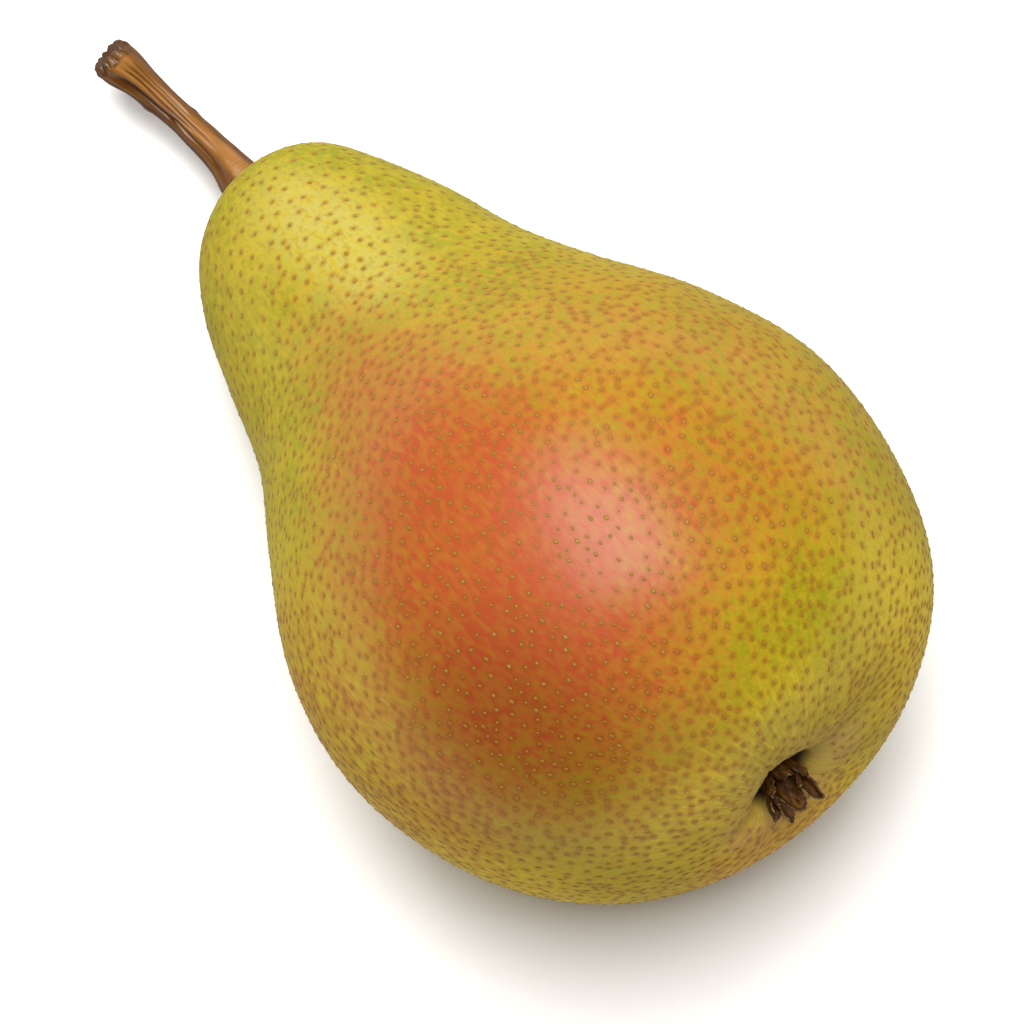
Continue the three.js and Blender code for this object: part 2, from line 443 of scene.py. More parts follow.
@dataclass(frozen=True)
class PearSkin:
    """Waxy skin of a ripe dessert pear, as grown: yellow-green with an orange-red blush.

    The wax gives the eye a soft satin highlight and turns matt where the skin turns away, so the
    edges don't shine. The blush gathers round the pores and runs together where it is strong, over
    a fine mottle. A pale sheen is painted along the top of the neck as a highlight, and the
    underside, the flanks and the basin's lips are painted paler as fill light.
    """

    ground: str = "#938815"
    olive: str = "#858512"
    butter: str = "#ab981c"
    pale: str = "#c2ab26"
    painted_sheen_colour: str = "#ada04c"
    red: str = "#9c4524"
    halo: str = "#845210"
    shade: str = "#b8a980"
    husk_and_basin_shade: str = "#24160a"
    russet: str = "#9c7a4c"
    blush: Tint = BLUSH
    dusk: Tint = Tint((Patch(16, 133, 31, (24, 20, 22), 0.52),))
    # Painted fill light: the underside, the flanks and the lips of the basin are painted paler, partly
    # the skin's own paler underside.
    belly: Tint = Tint((
        Patch(24, -172, 38, (48, 29, 34), 1.0),
        Patch(2, -100, 16, (15, 24, 26), 1.0),
        Patch(5, -4, 23, (17, 16, 27), 1.0),
        Patch(48, 160, 33, (32, 18, 26), 0.6),
        Patch(3, 150, 15, (12, 15, 15), 0.5),
        Patch(1, 68, 14, (9, 14, 13), 0.3),
    ))
    # Painted highlight: a pale sheen painted along the top of the neck.
    painted_neck_sheen: Tint = Tint((Patch(83, 78, 19, (30, 10, 14), 0.75),))
    dried: Tint = Tint((
        Patch(0.5, -16, 7.5, (4, 6, 5), 0.5),
        Patch(0.5, -156, 8.5, (3, 3, 6), 0.5),
    ))
    broad: Cloud = Cloud(17)
    patches: Cloud = Cloud(5, (1, 1.4, 1.4), 3, 0.55)
    fine: Cloud = Cloud(0.85, (1.3, 0.7, 0.7), 4, 0.7)
    flecks: Cloud = Cloud(1.1, (2.1, 0.7, 0.7), 2, 0.55)
    strokes: Pair = (42, 0.45)
    creases: Pair = (14, 0.12)
    grain: float = 0.03
    roughness: float = 0.34
    edge_roughness: float = 0.90
    specular_level: float = 0.20

    def make(self) -> bpy.types.Material:
        """Builds the skin's material."""
        graph = Graph("ripe_pear_skin")
        place = graph.own_place()

        broad, patches, fine, flecks = (
            graph.cloud(place, look) for look in (self.broad, self.patches, self.fine, self.flecks)
        )
        strokes = self.streaks(graph, place, *self.strokes)
        ring = graph.fade(graph.near(place, (0, CORE_DRIFT, 0), (13, 27, 27)), 1.0, 0.55)
        ground = graph.coated(
            self.olive,
            (graph.fade(broad, 0.35, 0.65), self.ground),
            (graph.fade(patches, 0.40, 0.75, 0.0, 0.6), self.butter),
            # painted fill light on the underside and flanks, partly their own paler colour
            (self.belly.share(graph, place), self.pale),
            # painted highlight: a pale sheen along the top of the neck
            (self.painted_neck_sheen.share(graph, place), self.painted_sheen_colour),
            (graph.fade(flecks, 0.42, 0.64, 0.0, 0.65), self.butter),
            (graph.fade(fine, 0.5, 0.36, 0.0, 0.35), self.halo),
            (graph.times(graph.fade(strokes, 0.46, 0.28, 0.0, 0.34), ring), self.halo),
            (graph.times(graph.fade(strokes, 0.52, 0.70, 0.0, 0.6), ring), self.pale),
        )
        colour = self.blushed(graph, ground, self.blush.share(graph, place), patches, flecks)
        colour = graph.blend(self.dusk.share(graph, place), colour, self.shade, "MULTIPLY")

        creases = self.streaks(graph, place, *self.creases)
        basin = graph.fade(graph.near(place, (-1.5, CORE_DRIFT, 0), (5, 9, 9)), 1.5, 0.7, 0.0, 0.5)
        dry = graph.sum_up("MAXIMUM", basin, self.dried.share(graph, place))
        dry = graph.times(dry, graph.fade(creases, 0.3, 0.65, 0.3, 1.0))
        # Painted shade: the depth of the basin is darkened almost to black over the dried husk's brown.
        inside = graph.near(place, (-4.5, CORE_DRIFT, 0), (3.6, 6, 6))
        colour = graph.coated(colour, (dry, self.russet), (graph.fade(inside, 1.1, 0.7), self.husk_and_basin_shade))

        height = graph.sum_up("MULTIPLY_ADD", graph.times(strokes, 2.0), ring, fine)
        return graph.surface(
            Base_Color=colour,
            Roughness=graph.edgewise(self.roughness, self.edge_roughness),
            Specular_IOR_Level=self.specular_level,
            Normal=graph.grain(height, self.grain),
        )

    def streaks(self, graph: Graph, place: Any, close: float, broken: float) -> Socket:
        """Gives fine streaks that run out from the core, as the skin creases round the basin.

        Args:
            graph: The nodes of the skin.
            place: The place in the pear's own frame.
            close: How closely the streaks stand round the core.
            broken: How soon each breaks off on its way out.

        Returns:
            A pattern from 0 to 1.
        """
        spoke = graph.add("VectorMath", {0: place, 1: (0, 1, 1)}, operation="MULTIPLY").outputs[0]
        spoke = graph.add("VectorMath", {0: spoke}, operation="NORMALIZE").outputs[0]
        spoke = graph.add("VectorMath", {0: spoke, 1: (close,) * 3}, operation="MULTIPLY").outputs[0]
        spoke = graph.add("VectorMath", {0: place, 1: (broken,) * 3, 2: spoke}, operation="MULTIPLY_ADD")
        return graph.cloud(spoke.outputs[0], Cloud(1.6))

    def blushed(self, graph: Graph, ground: Any, blush: Any, patches: Any, flecks: Any) -> Socket:
        """Lays the blush over the ground, gathered round the pores.

        Args:
            graph: The nodes of the skin.
            ground: The ground colour.
            blush: How red the skin is on the whole, from 0 to 1.
            patches: A soft pattern of a few millimetres.
            flecks: A soft pattern of lengthwise flecks, about a millimetre long.

        Returns:
            The skin's colour.
        """
        gap = graph.written("pore_gap")
        ragged = graph.times(graph.sum_up("SUBTRACT", patches, 0.5), 0.5)
        ragged = graph.sum_up("MULTIPLY_ADD", graph.sum_up("SUBTRACT", flecks, 0.5), 1.4, ragged)
        uneven = graph.sum_up("ADD", ragged, graph.fade(gap, 0.95, 0.2, -0.07, 0.2))
        partly = graph.times(blush, graph.sum_up("SUBTRACT", 1.15, blush))
        partly = graph.sum_up("MULTIPLY_ADD", partly, 1.9, 0.15)
        local = graph.sum_up("MULTIPLY_ADD", uneven, partly, blush, clamp=True)
        colour = graph.blend(local, ground, self.red)
        return graph.blend(graph.fade(gap, 0.75, 0.25, 0.0, 0.5), colour, self.halo)


@dataclass(frozen=True)
class CorkyPore:
    """Corky pores of a pear, as grown: dull dots, brown on green skin and olive-yellow on red."""

    brown: str = "#8a6a16"
    olive: str = "#84601c"
    rim: str = "#5c3b0c"
    pale: str = "#ae8f40"
    blush: Tint = BLUSH
    roughness: float = 0.6
    specular_level: float = 0.25

    def make(self) -> bpy.types.Material:
        """Builds the pores' material, which reads each pore's own chance and how near its middle."""
        graph = Graph("corky_pear_pore")
        place = graph.own_place()
        chance, inner = graph.written("chance"), graph.written("inner")
        colour = graph.blend(self.blush.share(graph, place), self.brown, self.olive)
        # The darker rim at each dome's foot is partly the pore's own colour and partly painted shade
        # where the dome meets the skin.
        colour = graph.blend(graph.fade(inner, 0.1, 0.75), self.rim, colour)
        pale = graph.times(graph.fade(chance, 0.5, 1.0), graph.fade(inner, 0.7, 1.0))
        colour = graph.blend(graph.times(pale, 0.6), colour, self.pale)
        return graph.surface(
            Base_Color=colour,
            Roughness=self.roughness,
            Specular_IOR_Level=self.specular_level,
        )


@dataclass(frozen=True)
class StemBark:
    """Lignified pear stem, smooth bark as grown: amber-brown, glossy along its ridges, with a tan
    highlight painted along its upper side and its grooves darkened as painted shade.
    """

    amber: str = "#633b08"
    umber: str = "#381c05"
    painted_highlight_tan: str = "#94642f"
    ash: str = "#40291a"
    streaks: Cloud = Cloud(1, (0.4, 0.4, 9))
    blotches: Cloud = Cloud(2, (1, 1, 3))
    cracks: Cloud = Cloud(1, (1.5, 1.5, 0.14))
    grain: float = 0.05
    roughness: float = 0.34
    edge_roughness: float = 0.90
    specular_level: float = 0.35

    def make(self) -> bpy.types.Material:
        """Builds the stem's material, which follows the stem by its "straight" places."""
        graph = Graph("lignified_stem_bark")
        straight = graph.add("Attribute", attribute_name="straight").outputs["Vector"]
        groove, cut, highlight_band = (graph.written(name) for name in ("groove", "cut_end", "painted_highlight_band"))
        streaks, blotches, cracks = (
            graph.cloud(straight, look) for look in (self.streaks, self.blotches, self.cracks)
        )
        # Painted highlight: a tan band along the upper side of the stem, where the light falls.
        upper = graph.times(graph.fade(highlight_band, 0.2, 0.9), graph.fade(blotches, 0.3, 0.6, 0.55, 0.95))
        base = graph.fade(graph.add("SeparateXYZ", {"Vector": straight}).outputs[2], 9.0, 4.0)
        lines = graph.times(graph.fade(cracks, 0.5, 0.36), base)
        colour = graph.coated(
            self.umber,
            (graph.fade(streaks, 0.2, 0.6, 0.35, 1.0), self.amber),
            (upper, self.painted_highlight_tan),
            # Painted shade: the grooves, and the gaps between the beads of the cut end, are darkened by
            # their depth.
            (graph.fade(groove, 0.2, 1.0, 0.0, 0.85), self.umber),
            (graph.fade(cut, 0.0, 1.0, 0.0, 0.75), self.ash),
            (graph.fade(groove, 0.6, 1.0, 0.0, 0.6), self.umber),
            (graph.times(lines, 0.45), self.umber),
        )
        height = graph.sum_up("MULTIPLY_ADD", streaks, 0.6, graph.times(cracks, graph.times(base, 1.5)))
        return graph.surface(
            Base_Color=colour,
            Roughness=graph.edgewise(self.roughness, self.edge_roughness),
            Specular_IOR_Level=self.specular_level,
            IOR=1.5,
            Normal=graph.grain(height, self.grain),
        )


@dataclass(frozen=True)
class DrySepal:
    """Dried sepals of the flower, leathery and shrunken: dark brown with paler curled edges."""

    umber: str = "#2a1604"
    chestnut: str = "#68420f"
    straw: str = "#826842"
    veins: Cloud = Cloud(0.8, (1.6, 0.5, 0.5), 3, 0.6)
    specks: Cloud = Cloud(0.35)
    grain: float = 0.08
    roughness: float = 0.6
    specular_level: float = 0.15

    def make(self) -> bpy.types.Material:
        """Builds the sepals' material, which reads how near the edge a place is."""
        graph = Graph("dried_leathery_sepal")
        place = graph.own_place()
        edge = graph.written("edge")
        veins, specks = graph.cloud(place, self.veins), graph.cloud(place, self.specks)
        pale = graph.times(graph.fade(edge, 0.8, 1.0, 0.0, 0.75), graph.fade(specks, 0.4, 0.65))
        colour = graph.coated(
            self.umber,
            (graph.fade(veins, 0.25, 0.8), self.chestnut),
            (graph.fade(edge, 0.02, 0.6, 0.0, 0.75), self.umber),
            (pale, self.straw),
        )
        height = graph.sum_up("ADD", veins, graph.times(specks, 0.5))
        return graph.surface(
            Base_Color=colour,
            Roughness=self.roughness,
            Specular_IOR_Level=self.specular_level,
            IOR=1.45,
            Normal=graph.grain(height, self.grain),
        )


@dataclass(frozen=True)
class Crease:
    """A crease that runs out of the basin: where it is round the core, and its depth."""

    turn: float
    depth: float


@dataclass
class Fruit:
    """The fleshy body, from the basin over the belly and the neck to the socket of the stem."""

    # Along, radius and drift of the outline, as in the CAD. The socket hugs the stem.
    outline: tuple[Triple, ...] = (
        (4.8, 0, -0.8), (4.7, 2.0, -0.8), (4.0, 3.2, -0.8), (2.6, 4.1, -0.8), (1.0, 5.1, -0.8),
        (0, 7.8, -0.5), (1.6, 16.4, 1.2), (8, 26.7, 0.8), (18, 33.5, 0), (35, 37.0, -0.8),
        (49, 34.3, -1.3), (63, 27.6, -0.8), (75, 21.7, 0.6), (86, 18.5, 1.1), (95.5, 15.1, 1.3),
        (102, 11.6, 1.9), (105, 8.3, 2.2), (106.5, 5.4, 1.9), (106.6, 3.6, 1.6), (105.4, 2.95, 1.5),
        (103.6, 2.0, 1.5), (103.6, 0, 1.5),
    )
    creases: tuple[Crease, ...] = (
        Crease(8, 1.0), Crease(96, 0.3), Crease(186, 1.0), Crease(242, 0.5), Crease(300, 0.6),
    )
    crease_width: float = 17.0
    crease_starts: Pair = (2.2, 6.0)
    crease_ends: Pair = (8.0, 19.0)
    crease_inward: float = 0.5
    squeeze: float = 0.010
    faces: float = 0.005
    ring_spacing: float = 0.5
    sides: int = 312
    pleats: int = 60
    pleat_depth: float = 0.11
    pleat_width: float = 2.2
    pleat_starts: Pair = (3.6, 6.5)
    pleat_ends: Pair = (8.5, 14.0)
    pleat_inward: float = 0.4
    unevenness: float = 0.10
    uneven_length: float = 24.0
    uneven_starts: Pair = (8.0, 20.0)
    skin: PearSkin = field(default_factory=PearSkin)

    def build(self) -> Piece:
        """Models the fruit: an extruded outline, spun round the core and then shaped."""
        steps = np.array(self.outline, float)
        lengths = np.linalg.norm(np.diff(steps, axis=0), axis=1)
        line = smooth_line(steps, [max(2, round(length / self.ring_spacing)) for length in lengths])
        piece = single_point("fruit_flesh")
        profile = np.column_stack([-line[:, 0], line[:, 1], np.zeros(len(line))])
        bpy.ops.transform.translate(value=profile[0])
        for step in np.diff(profile, axis=0):
            extrude(step)
        bpy.ops.object.mode_set(mode="OBJECT")
        places = places_of(piece)
        nearest = np.argmin(((places[:, None] - profile[None]) ** 2).sum(2), axis=1)
        ring = piece.data.attributes.new("ring", "INT", "POINT")
        ring.data.foreach_set("value", nearest.astype(np.int32))

        edit_all(piece)
        bpy.ops.mesh.spin(steps=self.sides, angle=2 * math.pi, center=(0, 0, 0), axis=(1, 0, 0))
        close_up(piece)
        places = places_of(piece)
        rings = np.empty(len(places), np.int32)
        piece.data.attributes["ring"].data.foreach_get("value", rings)
        put_places(piece, self.shaped(places, line[rings]))
        piece.data.attributes.remove(piece.data.attributes["ring"])
        lay_down(piece)
        self.press_flat(piece)
        return piece

    def shaped(self, places: Rows, steps: Rows) -> Rows:
        """Shapes the spun skin as it grew: with drift, creases, pleats and faint unevenness.

        Args:
            places: Points of the round skin.
            steps: Along, radius and drift of each point's ring.

        Returns:
            Where the points go.
        """
        along, radius, drift = steps.T
        turn = np.arctan2(places[:, 2], places[:, 1])
        degrees = np.degrees(turn)
        basin_side = along < self.outline[-1][0] / 2
        body = smoothstep(radius, *self.crease_ends)
        near_basin = smoothstep(radius, *self.crease_starts) * (1 - body) * basin_side
        crease = sum(c.depth * bell(degrees, c.turn, self.crease_width) for c in self.creases)
        crease *= near_basin
        uneven = 1 + body * (self.squeeze * np.sin(2 * turn) + self.faces * np.sin(5 * turn))
        out = radius * uneven - crease * self.crease_inward

        draw = np.random.default_rng(11)
        pleat = np.zeros(len(places))
        for _ in range(self.pleats):
            middle, depth, width = draw.uniform(-180, 180), draw.uniform(0.3, 1), draw.uniform(0.6, 1.4)
            pleat += depth * bell(degrees, middle, width * self.pleat_width)
        pleat *= self.pleat_depth * basin_side
        pleat *= smoothstep(radius, *self.pleat_starts) * (1 - smoothstep(radius, *self.pleat_ends))
        swell = gentle_noise(places, self.uneven_length, seed=5) * self.unevenness
        out = out - pleat * self.pleat_inward + swell * smoothstep(radius, *self.uneven_starts)
        deep = along + crease + pleat
        return np.column_stack([-deep, drift + out * np.cos(turn), out * np.sin(turn)])

    def press_flat(self, piece: Piece) -> None:
        """Presses the belly flat where the pear rests: nothing goes under the surface."""
        places = places_of(piece)
        places[:, 2] = np.maximum(places[:, 2], 0.0)
        put_places(piece, places)

    def dress(self, piece: Piece) -> None:
        """Gives the fruit its skin and its place among the parts."""
        piece.data.materials.append(self.skin.make())
        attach(piece, Body.WHOLE.value)
        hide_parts("fruit")


@dataclass
class Pores:
    """The pores: thousands of low corky domes, scattered evenly over the skin of the fruit."""

    fruit: Piece
    spacing: float = 1.3
    neck_spacing: float = 1.65
    crowding: Pair = (0.7, 1.35)
    radius: Pair = (0.15, 0.29)
    height: float = 0.075
    sunk: float = 0.02
    longest: float = 1.7
    neck: Pair = (62.0, 90.0)
    above_floor: float = 0.5
    off_core: float = 6.5
    between_ends: Pair = (5.0, 100.0)
    basin_side: Pair = (3.0, 14.0)
    basin_crowding: float = 0.12
    basin_narrowing: float = 0.42
    basin_stretch: float = 1.2
    sides: int = 6
    tries: int = 60000
    finish: CorkyPore = field(default_factory=CorkyPore)

    def by_basin(self, along: Rows) -> Rows:
        """Gives 1 round the basin, where the pores are fine dashes, and 0 away from it."""
        return 1 - smoothstep(along, *self.basin_side)

    def scatter(self) -> tuple[Rows, Rows]:
        """Picks places on the skin that keep their distance from each other.

        Returns:
            The places in millimetres in the part's frame and the skin's outward directions there.
        """
        mesh = self.fruit.data
        faces = [list(face.vertices) for face in mesh.polygons if len(face.vertices) == 4]
        quads = np.array(sorted(from_lowest(face) for face in faces))
        corners = np.concatenate([quads[:, [0, 1, 2]], quads[:, [0, 2, 3]]])
        normals = np.empty(len(mesh.vertices) * 3, np.float32)
        mesh.vertex_normals.foreach_get("vector", normals)
        normals = normals.reshape(-1, 3).astype(float)
        places = places_of(self.fruit) / MILLIMETRE
        first, second, third = (places[corners[:, column]] for column in range(3))
        area = np.linalg.norm(np.cross(second - first, third - first), axis=1)
        draw = np.random.default_rng(17)
        picked = corners[draw.choice(len(area), self.tries, p=area / area.sum())]
        shares = draw.dirichlet((1, 1, 1), self.tries)[:, :, None]
        spots = (places[picked] * shares).sum(1)
        facing = unit((normals[picked] * shares).sum(1))

        along, out = along_and_out(spots)
        first, last = self.between_ends
        clear = (out > self.off_core) | ((along > first) & (along < last))
        clear &= spots[:, 2] > self.above_floor
        gap = self.spacing + (self.neck_spacing - self.spacing) * smoothstep(along, *self.neck)
        gap *= draw.uniform(*self.crowding, len(spots))
        gap *= 1 - self.basin_crowding * self.by_basin(along)
        tree = tree_of(spots)
        kept = []
        for number, spot in enumerate(spots):
            if clear[number]:
                kept.append(number)
                clear[[other for _, other, _ in tree.find_range(spot, gap[number])]] = False
        return spots[kept], facing[kept]

    def build(self) -> Piece:
        """Models one dome, repeats it for each place and sets each down on the skin."""
        spots, facing = self.scatter()
        deselect_all()
        bpy.ops.mesh.primitive_circle_add(vertices=self.sides, radius=1.0)
        piece = bpy.context.object
        piece.name = piece.data.name = "skin_pores"
        edit_all(piece)
        extrude((0, 0, 0.7))
        bpy.ops.transform.resize(value=(0.6, 0.6, 1))
        extrude((0, 0, 0.3))
        bpy.ops.mesh.merge(type="CENTER")
        finish_with(piece, "ARRAY", count=len(spots), use_relative_offset=False)

        dome = places_of(piece).reshape(len(spots), -1, 3)
        draw = np.random.default_rng(29)
        radius = draw.uniform(*self.radius, len(spots))[:, None, None]
        core = np.array(pear_to_part().to_3x3() @ Vector((1, 0, 0)))
        core /= np.linalg.norm(core)
        across = unit(np.cross(facing, core))
        lengthwise = np.cross(across, facing)
        near_basin = self.by_basin(along_and_out(spots)[0])[:, None, None]
        radius *= 1 - self.basin_narrowing * near_basin
        longer = draw.uniform(1.0, self.longest, len(spots))[:, None, None]
        longer *= 1 + self.basin_stretch * near_basin
        rise = self.height * dome[:, :, 2:] - self.sunk * (dome[:, :, 2:] < 0.1)
        moved = spots[:, None] + rise * facing[:, None]
        moved += radius * longer * dome[:, :, :1] * lengthwise[:, None]
        moved += radius * dome[:, :, 1:2] * across[:, None]
        put_places(piece, moved.reshape(-1, 3) * MILLIMETRE)
        keep_values(piece, "chance", np.repeat(draw.uniform(size=len(spots)), dome.shape[1]))
        keep_values(piece, "inner", dome[:, :, 2].ravel())
        edit_all(piece)
        bpy.ops.mesh.normals_make_consistent(inside=False)
        pick(piece)
        bpy.ops.object.shade_smooth()
        self.mark_gaps(spots)
        return piece

    def mark_gaps(self, spots: Rows) -> None:
        """Writes on the skin how far each of its points is from the nearest pore, in millimetres."""
        tree = tree_of(spots)
        gaps = [tree.find(place)[2] for place in places_of(self.fruit) / MILLIMETRE]
        keep_values(self.fruit, "pore_gap", np.array(gaps))

    def dress(self, piece: Piece) -> None:
        """Gives the pores their finish and their place among the parts."""
        piece.data.materials.append(self.finish.make())
        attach(piece, Body.WHOLE.value)
        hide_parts("fruit")


@dataclass(frozen=True)
class Groove:
    """A long hollow in the stem: its place round it, where it starts and ends, depth and width."""

    turn: float
    start: float
    end: float
    depth: float
    width: float


@dataclass(frozen=True)
class Nodule:
    """A low bump on the stem: its place round it and along it, its height and its spread."""

    turn: float
    share: float
    height: float
    spread: float


@dataclass
class Stem:
    """The woody stem: bent, ridged along its length, widening to a scalloped cut end."""

    # Along, drift, height over the core line and radius of the stem's middle line, as in the CAD.
    path: tuple[tuple[float, float, float, float], ...] = (
        (104.3, 1.5, 0.0, 2.2), (106.4, 1.6, 0.1, 2.8), (109.2, 1.9, 0.3, 2.8), (112.0, 2.1, 0.6, 2.35),
        (115.4, 2.0, 1.2, 2.05), (119.0, 1.8, 2.3, 1.9), (122.4, 1.5, 3.8, 1.95), (125.5, 1.0, 5.7, 2.2),
        (128.2, 0.4, 7.75, 2.75), (129.3, 0.15, 8.7, 2.75), (129.7, 0.05, 9.1, 2.4),
    )
    line_cuts: int = 40
    sides: int = 120
    rings: int = 170
    cap_rings: int = 8
    ridges: tuple[int, float, float] = (8, 0.07, 1.6)
    swell: tuple[int, float, float] = (3, 0.11, -2.0)
    scallops: tuple[int, float, float] = (13, 0.26, 0.30)
    ridged: Pair = (0.12, 0.9)
    rim: Pair = (0.955, 0.985)
    length: float = 28.0
    twist: float = 5.0
    grooves: tuple[Groove, ...] = (
        Groove(132, 0.50, 0.97, 0.42, 11), Groove(120, 0.10, 0.66, 0.24, 9),
        Groove(102, 0.42, 0.98, 0.30, 5), Groove(85, 0.30, 0.98, 0.28, 5),
        Groove(68, 0.50, 0.98, 0.26, 5), Groove(36, 0.10, 0.80, 0.16, 9),
        Groove(168, 0.15, 0.98, 0.30, 10), Groove(200, 0.30, 0.95, 0.32, 13),
        Groove(240, 0.35, 0.95, 0.30, 12), Groove(285, 0.20, 0.95, 0.34, 13),
        Groove(325, 0.25, 0.97, 0.28, 12), Groove(8, 0.45, 0.98, 0.20, 8),
    )
    nodules: tuple[Nodule, ...] = (
        Nodule(20, 0.55, 0.25, 0.9), Nodule(185, 0.72, 0.2, 0.8), Nodule(95, 0.25, 0.12, 0.5),
    )
    bark: StemBark = field(default_factory=StemBark)

    def build(self) -> Piece:
        """Models the stem: a circle extruded to a straight tube, closed, and then shaped."""
        deselect_all()
        bpy.ops.mesh.primitive_circle_add(vertices=self.sides, radius=1.0)
        piece = bpy.context.object
        piece.name = piece.data.name = "stem_wood"
        edit_all(piece)
        for _ in range(self.rings):
            extrude((0, 0, 1 / self.rings))
        for ring in range(self.cap_rings, 1, -1):
            extrude()
            bpy.ops.transform.resize(value=((ring - 1) / ring,) * 2 + (1,))
        extrude()
        bpy.ops.mesh.merge(type="CENTER")
        bpy.ops.object.mode_set(mode="OBJECT")
        foot = places_of(piece)[:, 2] < 0.5 / self.rings
        edit_all(piece)
        bpy.ops.mesh.select_all(action="DESELECT")
        bpy.ops.object.mode_set(mode="OBJECT")
        piece.data.vertices.foreach_set("select", foot)
        bpy.ops.object.mode_set(mode="EDIT")
        extrude()
        bpy.ops.mesh.merge(type="CENTER")
        bpy.ops.object.mode_set(mode="OBJECT")
        self.shape(piece)
        close_up(piece)
        lay_down(piece)
        return piece

    def middle_line(self, shares: Rows) -> tuple[Rows, ...]:
        """Gives the bent middle line of the stem.

        Args:
            shares: Where along the stem, from 0 at its foot to 1 at its cut end.

        Returns:
            The line's points, its directions, its level side directions, its upper side
            directions and its radii, one row for each share.
        """
        steps = np.array(self.path)
        cuts = [self.line_cuts] * (len(steps) - 1)
        line = smooth_line(steps[:, :3] * (-1, 1, 1), cuts)
        marks = np.column_stack([np.arange(len(steps)), steps[:, 3], np.zeros(len(steps))])
        radii = smooth_line(marks, cuts)[:, 1]
        run = np.concatenate([[0], np.cumsum(np.linalg.norm(np.diff(line, axis=0), axis=1))])
        run /= run[-1]
        points = np.column_stack([np.interp(shares, run, line[:, axis]) for axis in range(3)])
        slopes = np.gradient(line, run, axis=0)
        forward = unit(np.column_stack([np.interp(shares, run, slopes[:, axis]) for axis in range(3)]))
        side = unit(np.cross(forward, (0.0, 0.0, 1.0)))
        return points, forward, side, np.cross(side, forward), np.interp(shares, run, radii)

    def shape(self, piece: Piece) -> None:
        """Bends the straight tube and gives it its ridges, grooves, nodules and scalloped end."""
        places = places_of(piece)
        share = np.clip(places[:, 2], 0, 1)
        inner = np.minimum(np.hypot(places[:, 0], places[:, 1]), 1.0)
        turn = np.arctan2(places[:, 1], places[:, 0])
        degrees = np.degrees(turn)
        points, forward, side, upper, radius = self.middle_line(share)
        side *= np.sign(side[:, 1:2])

        ridged = smoothstep(share, *self.ridged)
        quarter = turn + math.pi / 2
        out = radius.copy()
        for count, height, twist in (self.ridges, self.swell):
            out += ridged * height * np.cos(count * quarter + twist * share)
        hollow = np.zeros(len(places))
        for number, groove in enumerate(self.grooves):
            reach = smoothstep(share, groove.start, groove.start + 0.15)
            reach *= 1 - smoothstep(share, groove.end - 0.1, groove.end)
            sway = gentle_noise(share[:, None] * 5, 1.6, seed=60 + number) * 2.5
            middle = degrees - self.twist * share - sway
            hollow += groove.depth * reach * bell(middle, groove.turn, groove.width)
        out -= hollow
        for nodule in self.nodules:
            nearby = np.exp(-(((share - nodule.share) * self.length / nodule.spread) ** 2))
            out += nodule.height * nearby * bell(degrees, nodule.turn, 22 * nodule.spread)
        straight = np.column_stack([radius * np.cos(turn), radius * np.sin(turn), share * self.length])
        out += 0.03 * gentle_noise(straight * (1, 1, 0.12), 1.3, seed=3)
        out += 0.05 * gentle_noise(straight * (1, 1, 0.5), 2.5, seed=4)
        count, depth, bulge = self.scallops
        bead = np.abs(np.cos(count / 2 * turn + 0.35 * np.sin(3 * turn)))
        at_rim = smoothstep(share, *self.rim)
        out += at_rim * depth * (bead - 0.45)

        cap = 1 - inner
        dome = 0.35 * np.sqrt(np.clip(1 - inner**2, 0, 1)) - 0.55 * smoothstep(cap, 0.25, 0.6)
        dome += bulge * bead * smoothstep(inner, 0.5, 0.85)
        end = (inner < 0.999) & (share > 0.5)
        reach = (out * inner)[:, None]
        moved = points + reach * (np.cos(turn)[:, None] * side + np.sin(turn)[:, None] * upper)
        moved += (dome * (share > 0.999))[:, None] * forward
        put_places(piece, moved)
        gaps = at_rim * smoothstep(bead, 0.55, 0.15)
        keep_values(piece, "straight", straight)
        # The band along the upper side that the bark paints as a highlight.
        keep_values(piece, "painted_highlight_band", bell(degrees - 30 * share, 68, 34))
        # How deep each groove and bead gap is, which the bark darkens as painted shade.
        keep_values(piece, "groove", np.clip(hollow / 0.35 + gaps, 0, 1))
        ragged_share = share + 0.02 * gentle_noise(straight, 1.2, seed=6)
        keep_values(piece, "cut_end", np.clip(smoothstep(ragged_share, 0.95, 1.0) + end, 0, 1))

    def dress(self, piece: Piece) -> None:
        """Gives the stem its bark and its place among the parts."""
        piece.data.materials.append(self.bark.make())
        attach(piece, Body.WHOLE.value)
        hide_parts("stem")


@dataclass(frozen=True)
class Sepal:
    """One dried sepal: its place on the cup, its tip (outwards, sideways, up), width and curl."""

    turn: float
    root: float
    tip: Triple
    width: float
    curl: Pair = (80.0, 130.0)


